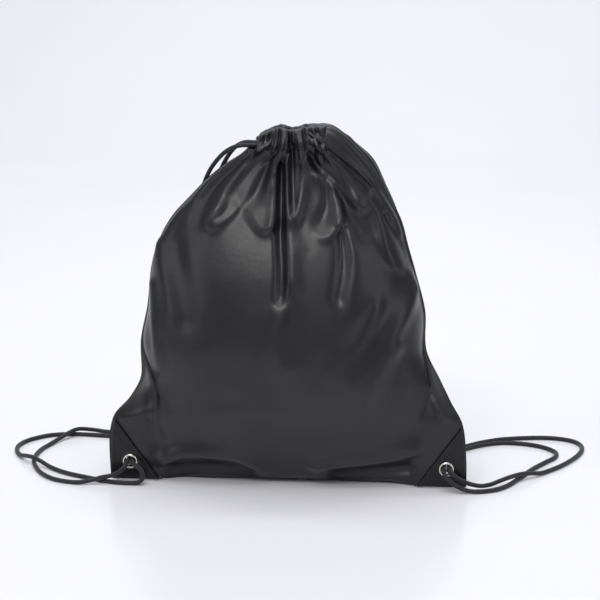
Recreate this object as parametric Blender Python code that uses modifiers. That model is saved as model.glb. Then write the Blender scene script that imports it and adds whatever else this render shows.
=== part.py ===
"""Drawstring backpack, stuffed and standing on its base.

Metres, +Z up, the front towards -Y, the origin on the floor under the middle of the bag.
Two coated-fabric panels are sewn together at the sides and along the bottom edge. Each has a
hem at the top, which is the channel for two drawcords. Each cord leaves the neck on its own
side as two strands, which come round to the eyelet in the bottom corner on that side, pass
through it from the front, and end in a knot behind it.
"""

import math

import bmesh
import bpy
from mathutils import Vector
from mathutils.geometry import interpolate_bezier

# Fabric
PANEL_WALL = 0.0012
HEM_WALL = 0.0010
PATCH_WALL = 0.0008
GAP = 0.0003
SEAM_HALF_GAP = 0.0002

# The bag's cross-sections, from the floor to the neck: height, left edge, right edge, depth of
# the side seams, of the front's middle and of the back's middle, width of the flat ear in
# front and behind, and how sharply the front turns into it.
SECTIONS = (
    (0.000, -0.1680, 0.1680, -0.0480, -0.0480, 0.050, 0.052, 0.050, 1.30),
    (0.030, -0.1690, 0.1672, -0.0480, -0.0600, 0.064, 0.050, 0.044, 1.20),
    (0.062, -0.1640, 0.1630, -0.0480, -0.0700, 0.073, 0.040, 0.034, 1.10),
    (0.080, -0.1490, 0.1530, -0.0430, -0.0740, 0.076, 0.024, 0.018, 0.90),
    (0.100, -0.1400, 0.1420, -0.0320, -0.0765, 0.077, 0.010, 0.007, 0.70),
    (0.125, -0.1425, 0.1290, -0.0180, -0.0765, 0.077, 0.003, 0.003, 0.58),
    (0.160, -0.1370, 0.1270, -0.0050, -0.0730, 0.073, 0.002, 0.002, 0.55),
    (0.195, -0.1335, 0.1175, 0.0000, -0.0630, 0.063, 0.002, 0.002, 0.55),
    (0.220, -0.1265, 0.1100, 0.0000, -0.0520, 0.052, 0.002, 0.002, 0.55),
    (0.245, -0.1130, 0.1030, 0.0000, -0.0390, 0.040, 0.002, 0.002, 0.55),
    (0.265, -0.0950, 0.0930, 0.0000, -0.0290, 0.031, 0.002, 0.002, 0.55),
    (0.282, -0.0760, 0.0830, 0.0000, -0.0210, 0.023, 0.002, 0.002, 0.55),
    (0.297, -0.0560, 0.0700, 0.0000, -0.0150, 0.017, 0.002, 0.002, 0.55),
    (0.308, -0.0370, 0.0500, 0.0000, -0.0120, 0.012, 0.002, 0.002, 0.55),
)
BACK_TURN = 0.55
CORNER_POWER = 2.4
NECK_HEIGHT = SECTIONS[-1][0]
SEAM_DEPTH_AT_BASE = SECTIONS[0][3]
BODY_COLUMNS = 18
EAR_COLUMNS = 2
BASE_ROWS = 5

# Hems at the top, each a flat tunnel for both cords
HEM_BOTTOM = NECK_HEIGHT + 0.0018
HEM_TOP = 0.3300
HEM_LEFT = -0.0290
HEM_RIGHT = 0.0310
HEM_DEPTH = 0.0080
HEM_CENTRE_Y = 0.0090

# Corner patches, triangles on the ears
PATCH_INNER_X = 0.1215
PATCH_TOP_Z = 0.0600
PATCH_BOTTOM_Z = 0.0015
PATCH_EDGE_X = 0.1660
PATCH_TOP_X = 0.1625

# Eyelets
EYELET_X = 0.1490
EYELET_Z = 0.0190
EYELET_BORE = 0.0049
EYELET_BARREL = 0.0054
EYELET_FLANGE = 0.0073
EYELET_FLANGE_THICKNESS = 0.0009
WASHER_THICKNESS = 0.0008
ROLLED_RIM = 0.0065
ROLLED_RIM_THICKNESS = 0.0008
PUNCHED_HOLE = EYELET_BARREL + GAP
RING_STEPS = 24

# Cords
CORD_DIAMETER = 0.0042
CORD_SPACING = 2.6 * CORD_DIAMETER
LEFT_CORD_Z = 0.3150
RIGHT_CORD_Z = 0.3235
BIGHT_START = 0.0030
CORD_END_LEFT = HEM_LEFT - 0.0060
CORD_END_RIGHT = HEM_RIGHT + 0.0060
KNOT_RADIUS = 0.0072
KNOT_DEPTH = 0.0062

# Each strand's route, chosen by hand: out of its eyelet, round on the floor beside the bag,
# in behind it, up its back and into the end of the neck's channel.
ROUTES = {
    "left_strap_inner": (
        (-0.1513, -0.0430, 0.0190), (-0.1513, -0.0525, 0.0190), (-0.1530, -0.0588, 0.0162),
        (-0.1585, -0.0605, 0.0112), (-0.1660, -0.0612, 0.0078), (-0.1740, -0.0628, 0.0066),
        (-0.1840, -0.0652, 0.0042), (-0.1985, -0.0660, 0.0021), (-0.2200, -0.0590, 0.0021),
        (-0.2350, -0.0450, 0.0021), (-0.2450, -0.0280, 0.0021), (-0.2515, -0.0100, 0.0021),
        (-0.2535, 0.0080, 0.0021), (-0.2520, 0.0250, 0.0021), (-0.2465, 0.0420, 0.0022),
        (-0.2380, 0.0590, 0.0042), (-0.2270, 0.0745, 0.0071), (-0.2140, 0.0830, 0.0046),
        (-0.1970, 0.0845, 0.0021), (-0.1700, 0.0840, 0.0021), (-0.1300, 0.0825, 0.0021),
        (-0.1020, 0.0780, 0.0034), (-0.0885, 0.0725, 0.0120), (-0.0835, 0.0695, 0.0320),
        (-0.0825, 0.0685, 0.0650), (-0.0820, 0.0685, 0.1000), (-0.0820, 0.0675, 0.1300),
        (-0.0820, 0.0650, 0.1550), (-0.0820, 0.0605, 0.1780), (-0.0815, 0.0535, 0.2010),
        (-0.0805, 0.0435, 0.2250), (-0.0790, 0.0340, 0.2450), (-0.0760, 0.0268, 0.2620),
        (-0.0710, 0.0210, 0.2800), (-0.0635, 0.0160, 0.2965), (-0.0545, 0.0118, 0.3090),
        (-0.0450, 0.0091, 0.3148), (-0.0353, 0.0090, 0.3150),
    ),
    "left_strap_outer": (
        (-0.1467, -0.0430, 0.0190), (-0.1467, -0.0528, 0.0190), (-0.1436, -0.0590, 0.0188),
        (-0.1378, -0.0612, 0.0150), (-0.1350, -0.0630, 0.0092), (-0.1370, -0.0640, 0.0042),
        (-0.1450, -0.0640, 0.0022), (-0.1600, -0.0632, 0.0021), (-0.1720, -0.0598, 0.0021),
        (-0.1880, -0.0530, 0.0021), (-0.2120, -0.0415, 0.0021), (-0.2310, -0.0275, 0.0026),
        (-0.2430, -0.0190, 0.0056), (-0.2515, -0.0128, 0.0069), (-0.2595, -0.0055, 0.0056),
        (-0.2680, 0.0045, 0.0028), (-0.2750, 0.0180, 0.0021), (-0.2775, 0.0330, 0.0021),
        (-0.2735, 0.0480, 0.0021), (-0.2640, 0.0605, 0.0021), (-0.2500, 0.0705, 0.0021),
        (-0.2270, 0.0748, 0.0021), (-0.1850, 0.0712, 0.0021), (-0.1300, 0.0715, 0.0021),
        (-0.1030, 0.0655, 0.0080), (-0.0945, 0.0620, 0.0300),
        (-0.0935, 0.0612, 0.0650), (-0.0930, 0.0612, 0.1000), (-0.0930, 0.0612, 0.1270),
        (-0.0930, 0.0600, 0.1520), (-0.0930, 0.0558, 0.1780), (-0.0928, 0.0490, 0.2020),
        (-0.0920, 0.0390, 0.2260), (-0.0905, 0.0290, 0.2460), (-0.0865, 0.0190, 0.2660),
        (-0.0780, 0.0095, 0.2870), (-0.0660, 0.0018, 0.3030), (-0.0555, -0.0052, 0.3112),
        (-0.0460, -0.0086, 0.3147), (-0.0353, -0.0090, 0.3150),
    ),
    "right_strap_outer": (
        (0.1513, -0.0430, 0.0190), (0.1513, -0.0525, 0.0190), (0.1547, -0.0580, 0.0168),
        (0.1622, -0.0592, 0.0122), (0.1710, -0.0585, 0.0082), (0.1810, -0.0552, 0.0054),
        (0.1900, -0.0500, 0.0050), (0.1975, -0.0440, 0.0060), (0.2055, -0.0370, 0.0069),
        (0.2140, -0.0290, 0.0071), (0.2215, -0.0225, 0.0067), (0.2300, -0.0155, 0.0048),
        (0.2400, -0.0070, 0.0025), (0.2570, 0.0120, 0.0021), (0.2710, 0.0330, 0.0021),
        (0.2810, 0.0540, 0.0021), (0.2850, 0.0730, 0.0021), (0.2800, 0.0885, 0.0021),
        (0.2660, 0.0975, 0.0021), (0.2450, 0.1000, 0.0021), (0.2080, 0.0925, 0.0021),
        (0.1850, 0.0800, 0.0021), (0.1680, 0.0665, 0.0021),
        (0.1480, 0.0570, 0.0021), (0.1200, 0.0525, 0.0034), (0.1045, 0.0508, 0.0130),
        (0.0990, 0.0505, 0.0320), (0.0980, 0.0505, 0.0650), (0.0980, 0.0510, 0.1000),
        (0.0980, 0.0513, 0.1270), (0.0975, 0.0512, 0.1520), (0.0960, 0.0480, 0.1770),
        (0.0930, 0.0415, 0.2010), (0.0885, 0.0338, 0.2250), (0.0830, 0.0275, 0.2460),
        (0.0745, 0.0215, 0.2700), (0.0665, 0.0165, 0.2940), (0.0565, 0.0115, 0.3155),
        (0.0470, 0.0091, 0.3232), (0.0373, 0.0090, 0.3235),
    ),
    "right_strap_inner": (
        (0.1467, -0.0430, 0.0190), (0.1467, -0.0525, 0.0190), (0.1480, -0.0590, 0.0158),
        (0.1530, -0.0612, 0.0106), (0.1605, -0.0630, 0.0062), (0.1700, -0.0632, 0.0030),
        (0.1815, -0.0610, 0.0021), (0.1940, -0.0558, 0.0021), (0.2040, -0.0465, 0.0021),
        (0.2110, -0.0360, 0.0021), (0.2170, -0.0240, 0.0021), (0.2250, -0.0090, 0.0021),
        (0.2350, 0.0090, 0.0021), (0.2470, 0.0270, 0.0021), (0.2560, 0.0410, 0.0021),
        (0.2580, 0.0540, 0.0021), (0.2505, 0.0665, 0.0021), (0.2390, 0.0750, 0.0021),
        (0.2240, 0.0800, 0.0021), (0.2050, 0.0805, 0.0021), (0.1860, 0.0725, 0.0021),
        (0.1690, 0.0595, 0.0021), (0.1520, 0.0470, 0.0021), (0.1320, 0.0410, 0.0032),
        (0.1175, 0.0402, 0.0120), (0.1115, 0.0405, 0.0310), (0.1095, 0.0408, 0.0650),
        (0.1090, 0.0410, 0.1000), (0.1082, 0.0415, 0.1270), (0.1070, 0.0428, 0.1520),
        (0.1050, 0.0402, 0.1760), (0.1020, 0.0345, 0.2000), (0.0970, 0.0272, 0.2240),
        (0.0920, 0.0225, 0.2450), (0.0865, 0.0185, 0.2620), (0.0800, 0.0118, 0.2830),
        (0.0715, 0.0035, 0.3020), (0.0610, -0.0035, 0.3155), (0.0485, -0.0088, 0.3232),
        (0.0373, -0.0090, 0.3235),
    ),
}

BLACK_FABRIC = ("black_coated_fabric", (0.028, 0.028, 0.032), 0.38, 0.0)
BLACK_PATCH = ("black_leatherette", (0.022, 0.022, 0.024), 0.45, 0.0)
BLACK_CORD = ("black_braided_cord", (0.015, 0.015, 0.019), 0.75, 0.0)
NICKEL = ("nickel", (0.72, 0.68, 0.62), 0.28, 1.0)


def clear_scene():
    for obj in list(bpy.data.objects):
        bpy.data.objects.remove(obj, do_unlink=True)


def new_collection(name, hidden=False):
    collection = bpy.data.collections.new(name)
    collection.hide_render = hidden
    bpy.context.scene.collection.children.link(collection)
    return collection


def material(look):
    name, colour, roughness, metallic = look
    found = bpy.data.materials.get(name)
    if found:
        return found
    made = bpy.data.materials.new(name)
    made.use_nodes = True
    shader = made.node_tree.nodes["Principled BSDF"]
    shader.inputs["Base Color"].default_value = (*colour, 1.0)
    shader.inputs["Roughness"].default_value = roughness
    shader.inputs["Metallic"].default_value = metallic
    made.diffuse_color = (*colour, 1.0)
    return made


def add_object(name, data, look, collection):
    obj = bpy.data.objects.new(name, data)
    data.materials.append(material(look))
    collection.objects.link(obj)
    return obj


def add_mesh(name, bm, look, collection, smooth=True):
    mesh = bpy.data.meshes.new(name)
    bm.to_mesh(mesh)
    bm.free()
    if smooth:
        mesh.shade_smooth()
        mesh.set_sharp_from_angle(angle=math.radians(50))
    return add_object(name, mesh, look, collection)


def section(height):
    """The bag's cross-section at this height, read smoothly between those that are stated."""
    heights = [row[0] for row in SECTIONS]
    last = len(SECTIONS) - 1
    low = max(i for i in range(last) if heights[i] <= height + 1e-9)
    span = heights[low + 1] - heights[low]
    t = min(max((height - heights[low]) / span, 0.0), 1.0)

    def slope(i, column):
        before, after = max(i - 1, 0), min(i + 1, last)
        here = SECTIONS[i][column]
        rise_in, rise_out = here - SECTIONS[before][column], SECTIONS[after][column] - here
        if 0 < i < last and rise_in * rise_out <= 0:
            return 0.0
        return (rise_in + rise_out) / (heights[after] - heights[before])

    def value(column):
        start, end = SECTIONS[low][column], SECTIONS[low + 1][column]
        first, second = slope(low, column) * span, slope(low + 1, column) * span
        square, cube = t * t, t * t * t
        return (
            start * (2 * cube - 3 * square + 1)
            + first * (cube - 2 * square + t)
            + end * (3 * square - 2 * cube)
            + second * (cube - square)
        )

    return [value(column) for column in range(1, 9)]


def panel_row(height, side):
    """Points across one panel at this height, from the left seam to the right one."""
    left, right, seam, front, back, ear_front, ear_back, front_turn = section(height)
    at_front = side < 0
    ear = ear_front if at_front else ear_back
    middle = front if at_front else back
    turn = front_turn if at_front else BACK_TURN
    row = []
    for i in range(EAR_COLUMNS):
        row.append((left + ear * i / EAR_COLUMNS, seam))
    for i in range(BODY_COLUMNS + 1):
        t = math.sin(math.pi / 2 * (2 * i / BODY_COLUMNS - 1))
        half = -left - ear if t < 0 else right - ear
        swell = max(1 - abs(t) ** CORNER_POWER, 0.0) ** turn
        row.append((t * half, seam + (middle - seam) * swell))
    for i in range(1, EAR_COLUMNS + 1):
        row.append((right - ear + ear * i / EAR_COLUMNS, seam))
    offset = side * SEAM_HALF_GAP
    return [Vector((x, y + offset, height)) for x, y in row]


def panel_heights():
    """The stated heights with one more between each two."""
    stated = [row[0] for row in SECTIONS]
    heights = []
    for low, high in zip(stated, stated[1:]):
        heights += [low, (low + high) / 2] if high - low > 0.016 else [low]
    return heights + [stated[-1]]


def skin(bm, rows, flip):
    """Faces between rows of vertices. Where two rows meet in one vertex, a triangle."""
    for low, high in zip(rows, rows[1:]):
        for i in range(len(low) - 1):
            corners = [low[i], low[i + 1], high[i + 1], high[i]]
            if flip:
                corners.reverse()
            ring = [v for k, v in enumerate(corners) if v is not corners[k - 1]]
            if len(ring) > 2:
                bm.faces.new(ring)


def panel(name, side, collection):
    """One panel as a shell. The back one also carries the flat base."""
    bm = bmesh.new()
    floor = PANEL_WALL if side > 0 else GAP
    rows = []
    for height in panel_heights():
        points = panel_row(height, side)
        if height == 0:
            points = [Vector((p.x, p.y, floor)) for p in points]
        rows.append([bm.verts.new(p) for p in points])
    skin(bm, rows, flip=side > 0)
    if side > 0:
        outline = rows[0][EAR_COLUMNS : EAR_COLUMNS + BODY_COLUMNS + 1]
        front_y = SEAM_DEPTH_AT_BASE + SEAM_HALF_GAP
        base = []
        for k in range(BASE_ROWS):
            part = k / BASE_ROWS
            inner = [
                bm.verts.new((v.co.x, front_y + (v.co.y - front_y) * part, floor))
                for v in outline[1:-1]
            ]
            base.append([outline[0], *inner, outline[-1]])
        skin(bm, [*base, outline], flip=True)
    obj = add_mesh(name, bm, BLACK_FABRIC, collection)
    shell = obj.modifiers.new("wall", "SOLIDIFY")
    shell.thickness = PANEL_WALL
    shell.offset = 1.0
    return obj


def hem(name, side, collection):
    """A flat tunnel with rounded top and bottom, open at both ends."""
    bm = bmesh.new()
    half_depth = HEM_DEPTH / 2
    centre_y = side * HEM_CENTRE_Y
    low, high = HEM_BOTTOM + half_depth, HEM_TOP - half_depth
    outline = []
    for middle, start in ((high, 0), (low, 180)):
        for step in range(7):
            angle = math.radians(start + 30 * step)
            y = centre_y + half_depth * math.cos(angle)
            outline.append((y, middle + half_depth * math.sin(angle)))
    rings = []
    for x in (HEM_LEFT, 0.0, HEM_RIGHT):
        rings.append([bm.verts.new((x, y, z)) for y, z in outline])
    for first, second in zip(rings, rings[1:]):
        for i in range(len(outline)):
            bm.faces.new((first[i - 1], first[i], second[i], second[i - 1]))
    bmesh.ops.recalc_face_normals(bm, faces=bm.faces)
    obj = add_mesh(name, bm, BLACK_FABRIC, collection)
    shell = obj.modifiers.new("wall", "SOLIDIFY")
    shell.thickness = HEM_WALL
    shell.offset = -1.0
    shell.use_even_offset = True
    return obj


def patch(name, side_x, front_y, collection):
    """A triangular reinforcement whose face nearest -Y is at front_y."""
    bm = bmesh.new()
    outline = (
        (PATCH_INNER_X, PATCH_BOTTOM_Z),
        (PATCH_EDGE_X, PATCH_BOTTOM_Z),
        (PATCH_EDGE_X, PATCH_TOP_Z / 2),
        (PATCH_TOP_X, PATCH_TOP_Z),
    )
    face = bm.faces.new([bm.verts.new((side_x * x, front_y, z)) for x, z in outline])
    if face.normal.y == 0:
        face.normal_update()
    if face.normal.y > 0:
        face.normal_flip()
    obj = add_mesh(name, bm, BLACK_PATCH, collection, smooth=False)
    shell = obj.modifiers.new("wall", "SOLIDIFY")
    shell.thickness = PATCH_WALL
    shell.offset = -1.0
    return obj


def turned(name, profile, location, look, collection):
    """A closed ring profile turned about an axis that points to the front."""
    mesh = bpy.data.meshes.new(name)
    edges = [(i, (i + 1) % len(profile)) for i in range(len(profile))]
    mesh.from_pydata([(r, 0, z) for r, z in profile], edges, [])
    obj = add_object(name, mesh, look, collection)
    turn = obj.modifiers.new("turn", "SCREW")
    turn.steps = RING_STEPS
    turn.render_steps = RING_STEPS
    turn.use_merge_vertices = True
    turn.merge_threshold = 0.00001
    turn.use_smooth_shade = True
    obj.location = location
    obj.rotation_euler = (math.pi / 2, 0, 0)
    return obj


def cutter(name, radius, location, collection):
    bm = bmesh.new()
    bmesh.ops.create_cone(
        bm, cap_ends=True, segments=RING_STEPS, radius1=radius, radius2=radius, depth=0.02
    )
    obj = add_mesh(name, bm, BLACK_PATCH, collection)
    obj.location = location
    obj.rotation_euler = (math.pi / 2, 0, 0)
    obj.hide_render = True
    obj.display_type = "WIRE"
    return obj


def punch(obj, tool):
    cut = obj.modifiers.new("eyelet_hole", "BOOLEAN")
    cut.object = tool
    cut.operation = "DIFFERENCE"
    cut.solver = "EXACT"


def smooth_route(points, spacing):
    """Evenly spaced points along a smooth curve through the route's own points."""
    knots = [Vector(p) for p in points]
    fine = []
    for i in range(len(knots) - 1):
        before = knots[max(i - 1, 0)]
        after = knots[min(i + 2, len(knots) - 1)]
        span = (knots[i + 1] - knots[i]).length
        leave = (knots[i + 1] - before).normalized() * span / 3
        arrive = (after - knots[i]).normalized() * span / 3
        run = interpolate_bezier(knots[i], knots[i] + leave, knots[i + 1] - arrive, knots[i + 1], 16)
        fine += run if i == 0 else run[1:]
    lengths = [0.0]
    for a, b in zip(fine, fine[1:]):
        lengths.append(lengths[-1] + (b - a).length)
    count = max(2, round(lengths[-1] / spacing))
    even = []
    at = 0
    for k in range(count + 1):
        target = lengths[-1] * k / count
        while at < len(fine) - 2 and lengths[at + 1] < target:
            at += 1
        part = (target - lengths[at]) / (lengths[at + 1] - lengths[at])
        even.append(fine[at].lerp(fine[at + 1], part))
    return even


def cord(name, points, collection):
    curve = bpy.data.curves.new(name, "CURVE")
    curve.dimensions = "3D"
    curve.bevel_depth = CORD_DIAMETER / 2
    curve.bevel_resolution = 2
    curve.use_fill_caps = True
    spline = curve.splines.new("POLY")
    spline.points.add(len(points) - 1)
    for target, point in zip(spline.points, points):
        target.co = (*point, 1.0)
    return add_object(name, curve, BLACK_CORD, collection)


def channel_loop(name, open_x, closed_x, height, collection):
    """The part of a drawcord inside the neck: through one hem, a bight, back through the other."""
    side = 1 if closed_x > open_x else -1
    bight = closed_x + side * BIGHT_START
    points = [Vector((open_x, -HEM_CENTRE_Y, height)), Vector((0.0, -HEM_CENTRE_Y, height))]
    for step in range(9):
        angle = math.radians(-90 + 22.5 * step)
        points.append(
            Vector(
                (
                    bight + side * HEM_CENTRE_Y * math.cos(angle),
                    HEM_CENTRE_Y * math.sin(angle),
                    height,
                )
            )
        )
    points += [Vector((0.0, HEM_CENTRE_Y, height)), Vector((open_x, HEM_CENTRE_Y, height))]
    return cord(name, points, collection)


def knot(name, side_x, rear_y, collection):
    bm = bmesh.new()
    bmesh.ops.create_uvsphere(bm, u_segments=16, v_segments=10, radius=1.0)
    bmesh.ops.scale(bm, vec=(KNOT_RADIUS, KNOT_DEPTH, KNOT_RADIUS), verts=bm.verts)
    obj = add_mesh(name, bm, BLACK_CORD, collection)
    obj.location = (side_x * EYELET_X, rear_y + GAP + KNOT_DEPTH, EYELET_Z)
    return obj


def eyelet_profile(front_y, rear_y):
    """The eyelet's section: front flange, barrel and rolled rear rim, as radius and height."""
    top = -front_y + GAP
    crown = top + EYELET_FLANGE_THICKNESS
    rim = -rear_y
    foot = rim - ROLLED_RIM_THICKNESS
    soft = EYELET_FLANGE_THICKNESS / 2
    return [
        (EYELET_BORE + soft, crown),
        (EYELET_FLANGE - soft, crown),
        (EYELET_FLANGE, top + soft),
        (EYELET_FLANGE - soft / 2, top),
        (EYELET_BARREL, top),
        (EYELET_BARREL, rim),
        (ROLLED_RIM - soft / 2, rim),
        (ROLLED_RIM, rim - soft / 2),
        (ROLLED_RIM - soft, foot),
        (EYELET_BORE + soft / 2, foot),
        (EYELET_BORE, foot + soft / 2),
        (EYELET_BORE, crown - soft),
    ]


def washer_profile(rear_y):
    front = -rear_y - GAP
    back = front - WASHER_THICKNESS
    return [(PUNCHED_HOLE, front), (EYELET_FLANGE, front), (EYELET_FLANGE, back), (PUNCHED_HOLE, back)]


def corner(side_x, word, panels, parts, cutters):
    """The patches, eyelet, washer and knot at one bottom corner."""
    front_face = SEAM_DEPTH_AT_BASE - SEAM_HALF_GAP - PANEL_WALL - GAP
    rear_face = SEAM_DEPTH_AT_BASE + SEAM_HALF_GAP + PANEL_WALL + GAP
    place = (side_x * EYELET_X, 0, EYELET_Z)
    tool = cutter(word + "_punch", PUNCHED_HOLE, (place[0], SEAM_DEPTH_AT_BASE, EYELET_Z), cutters)
    front = patch(word + "_patch_front", side_x, front_face - PATCH_WALL, parts)
    rear = patch(word + "_patch_rear", side_x, rear_face, parts)
    for layer in (*panels, front, rear):
        punch(layer, tool)
    front_y = front_face - PATCH_WALL
    rear_y = rear_face + PATCH_WALL
    washer_rear = rear_y + GAP + WASHER_THICKNESS
    rim_rear = washer_rear + GAP
    profile = eyelet_profile(front_y, rim_rear)
    turned(word + "_eyelet", profile, place, NICKEL, parts)
    turned(word + "_eyelet_washer", washer_profile(rear_y), place, NICKEL, parts)
    knot(word + "_knot", side_x, rim_rear + ROLLED_RIM_THICKNESS, parts)


def build():
    clear_scene()
    parts = new_collection("drawstring_backpack")
    cutters = new_collection("cutters", hidden=True)
    panels = [panel("front_panel", -1, parts), panel("back_panel", 1, parts)]
    hem("front_channel", -1, parts)
    hem("back_channel", 1, parts)
    for side_x, word in ((-1, "left"), (1, "right")):
        corner(side_x, word, panels, parts, cutters)
    channel_loop("left_drawcord", CORD_END_LEFT, HEM_RIGHT, LEFT_CORD_Z, parts)
    channel_loop("right_drawcord", CORD_END_RIGHT, HEM_LEFT, RIGHT_CORD_Z, parts)
    for name, points in ROUTES.items():
        cord(name, smooth_route(points, CORD_SPACING), parts)


build()
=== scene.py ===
# %% [markdown]
# # A drawstring backpack around its imported frame
# The bag is one strip of coated polyester, folded at the bottom and sewn up the sides. The
# fabric is folded first and then settled by cloth simulation, and the hard pieces are modelled
# separately. Everything is in metres, with the front towards -Y.

import math

import bmesh
import bpy
import numpy as np
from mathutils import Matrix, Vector
from mathutils.geometry import interpolate_bezier


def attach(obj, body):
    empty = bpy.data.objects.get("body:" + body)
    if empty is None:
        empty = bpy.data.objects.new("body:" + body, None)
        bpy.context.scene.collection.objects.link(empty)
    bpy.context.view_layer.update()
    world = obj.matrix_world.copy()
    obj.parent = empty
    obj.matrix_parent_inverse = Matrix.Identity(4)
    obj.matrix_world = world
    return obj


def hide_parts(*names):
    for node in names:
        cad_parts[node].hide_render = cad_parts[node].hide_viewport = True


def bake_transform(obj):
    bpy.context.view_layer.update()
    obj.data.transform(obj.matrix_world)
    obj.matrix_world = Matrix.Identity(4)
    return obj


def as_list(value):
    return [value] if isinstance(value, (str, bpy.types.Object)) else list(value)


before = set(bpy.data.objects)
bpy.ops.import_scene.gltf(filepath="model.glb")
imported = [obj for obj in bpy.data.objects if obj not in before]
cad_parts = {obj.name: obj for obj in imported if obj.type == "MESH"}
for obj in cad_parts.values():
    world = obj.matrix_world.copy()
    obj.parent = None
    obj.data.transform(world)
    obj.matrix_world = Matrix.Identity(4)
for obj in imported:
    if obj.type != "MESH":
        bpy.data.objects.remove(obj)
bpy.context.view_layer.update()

# %% [markdown]
# Operators act on whatever is selected, and the loaded nodes start selected. So a small
# helper clears the selection and makes one object active before each operator.

# %% Helpers for selecting and finishing
def only(obj):
    """Select this object alone and make it active."""
    bpy.ops.object.select_all(action="DESELECT")
    obj.select_set(True)
    bpy.context.view_layer.objects.active = obj
    return obj


def added(name):
    """The object that the last operator added, renamed."""
    obj = bpy.context.active_object
    obj.name = name
    obj.data.name = name
    return obj


def apply_modifiers(obj):
    only(obj)
    for modifier in list(obj.modifiers):
        bpy.ops.object.modifier_apply(modifier=modifier.name)
    return obj


def thickened(obj, thickness, offset):
    """A wall on a sheet, to one side of it (-1 or 1) or to both (0)."""
    only(obj)
    bpy.ops.object.modifier_add(type="SOLIDIFY")
    wall = obj.modifiers[-1]
    wall.thickness, wall.offset, wall.use_rim = thickness, offset, True
    return apply_modifiers(obj)


def subdivided(obj):
    only(obj)
    bpy.ops.object.modifier_add(type="SUBSURF")
    obj.modifiers[-1].levels = obj.modifiers[-1].render_levels = 1
    return apply_modifiers(obj)


def smooth(obj, degrees):
    only(obj)
    bpy.ops.object.shade_smooth_by_angle(angle=math.radians(degrees))
    return obj


def faced_outward(obj, bevel=None):
    """Turn every face outward and, if asked, round the edges by this much in so many steps."""
    only(obj)
    bpy.ops.object.mode_set(mode="EDIT")
    bpy.ops.mesh.select_all(action="SELECT")
    bpy.ops.mesh.normals_make_consistent(inside=False)
    if bevel:
        bpy.ops.mesh.bevel(offset=bevel[0], segments=bevel[1], affect="EDGES")
    bpy.ops.object.mode_set(mode="OBJECT")
    return obj


def points_of(obj):
    flat = np.empty(len(obj.data.vertices) * 3, np.float32)
    obj.data.vertices.foreach_get("co", flat)
    return flat.reshape(-1, 3).astype(float)


def set_points(obj, points):
    obj.data.vertices.foreach_set("co", np.asarray(points, np.float32).ravel())
    obj.data.update()


def linked(name, bm):
    """An object in the scene made from this bmesh, which is then freed."""
    mesh = bpy.data.meshes.new(name)
    bm.to_mesh(mesh)
    bm.free()
    obj = bpy.data.objects.new(name, mesh)
    bpy.context.scene.collection.objects.link(obj)
    return obj


def grid_mesh(
    name, points, uv=None, round_rows=False, round_columns=False, outward=True, caps=False
):
    """Faces over a grid of points, closed round its rows or columns if asked. The UV map gives
    each grid place, as column and row, its place on the cloth in metres."""
    rows, count = points.shape[:2]
    bm = bmesh.new()
    uv_map = bm.loops.layers.uv.new("cloth") if uv else None
    grid = [[bm.verts.new(p) for p in row] for row in points]
    for j in range(rows if round_rows else rows - 1):
        for i in range(count if round_columns else count - 1):
            k, m = (i + 1) % count, (j + 1) % rows
            face = bm.faces.new((grid[j][i], grid[j][k], grid[m][k], grid[m][i]))
            places = ((i, j), (i + 1, j), (i + 1, j + 1), (i, j + 1))
            for loop, place in zip(face.loops, places if uv else ()):
                loop[uv_map].uv = uv(*place)
    if caps:
        bm.faces.new(list(reversed(grid[0])))
        bm.faces.new(grid[-1])
    if outward:
        bmesh.ops.recalc_face_normals(bm, faces=bm.faces)
    return linked(name, bm)


bpy.ops.object.select_all(action="DESELECT")

# %% [markdown]
# The camera comes first, so that the cords can be laid out in its view. It is a long lens,
# a little above the bag and a little to its right.

# %% Camera
CAMERA_PLACE = (0.1304, -1.5533, 0.5550)
CAMERA_TURN = math.radians(4.5)
CAMERA_TILT = math.radians(14)
CAMERA_LENS = 101.8

bpy.ops.object.camera_add(location=CAMERA_PLACE)
camera = bpy.context.active_object
camera.name = "camera"
camera.rotation_euler = (math.pi / 2 - CAMERA_TILT, 0, CAMERA_TURN)
camera.data.lens = CAMERA_LENS
camera.data.sensor_width = 36
camera.data.clip_end = 30
bpy.context.scene.camera = camera
print("camera", camera.data.lens, "mm, tilted down", round(math.degrees(CAMERA_TILT)), "degrees")

# %% [markdown]
# Shader maths reads best as maths. A small class wraps a socket, so that `1 - mask * 2` adds
# the Math nodes that it needs.

# %% Node helpers
class Value:
    """A number that varies over a surface: a node's output, with arithmetic."""

    def __init__(self, maker, socket):
        self.maker, self.socket = maker, socket

    def math(self, operation, a, b=None):
        inputs = {0: a} if b is None else {0: a, 1: b}
        return self.maker.node("ShaderNodeMath", {"operation": operation}, inputs)

    def __add__(self, other):
        return self.math("ADD", self, other)

    def __sub__(self, other):
        return self.math("SUBTRACT", self, other)

    def __rsub__(self, other):
        return self.math("SUBTRACT", other, self)

    def __mul__(self, other):
        return self.math("MULTIPLY", self, other)

    __radd__ = __add__
    __rmul__ = __mul__

    def single(self, operation):
        return self.math(operation, self)

    def sine(self):
        return self.single("SINE")

    def out(self, name):
        return Value(self.maker, self.socket.node.outputs[name])


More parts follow.
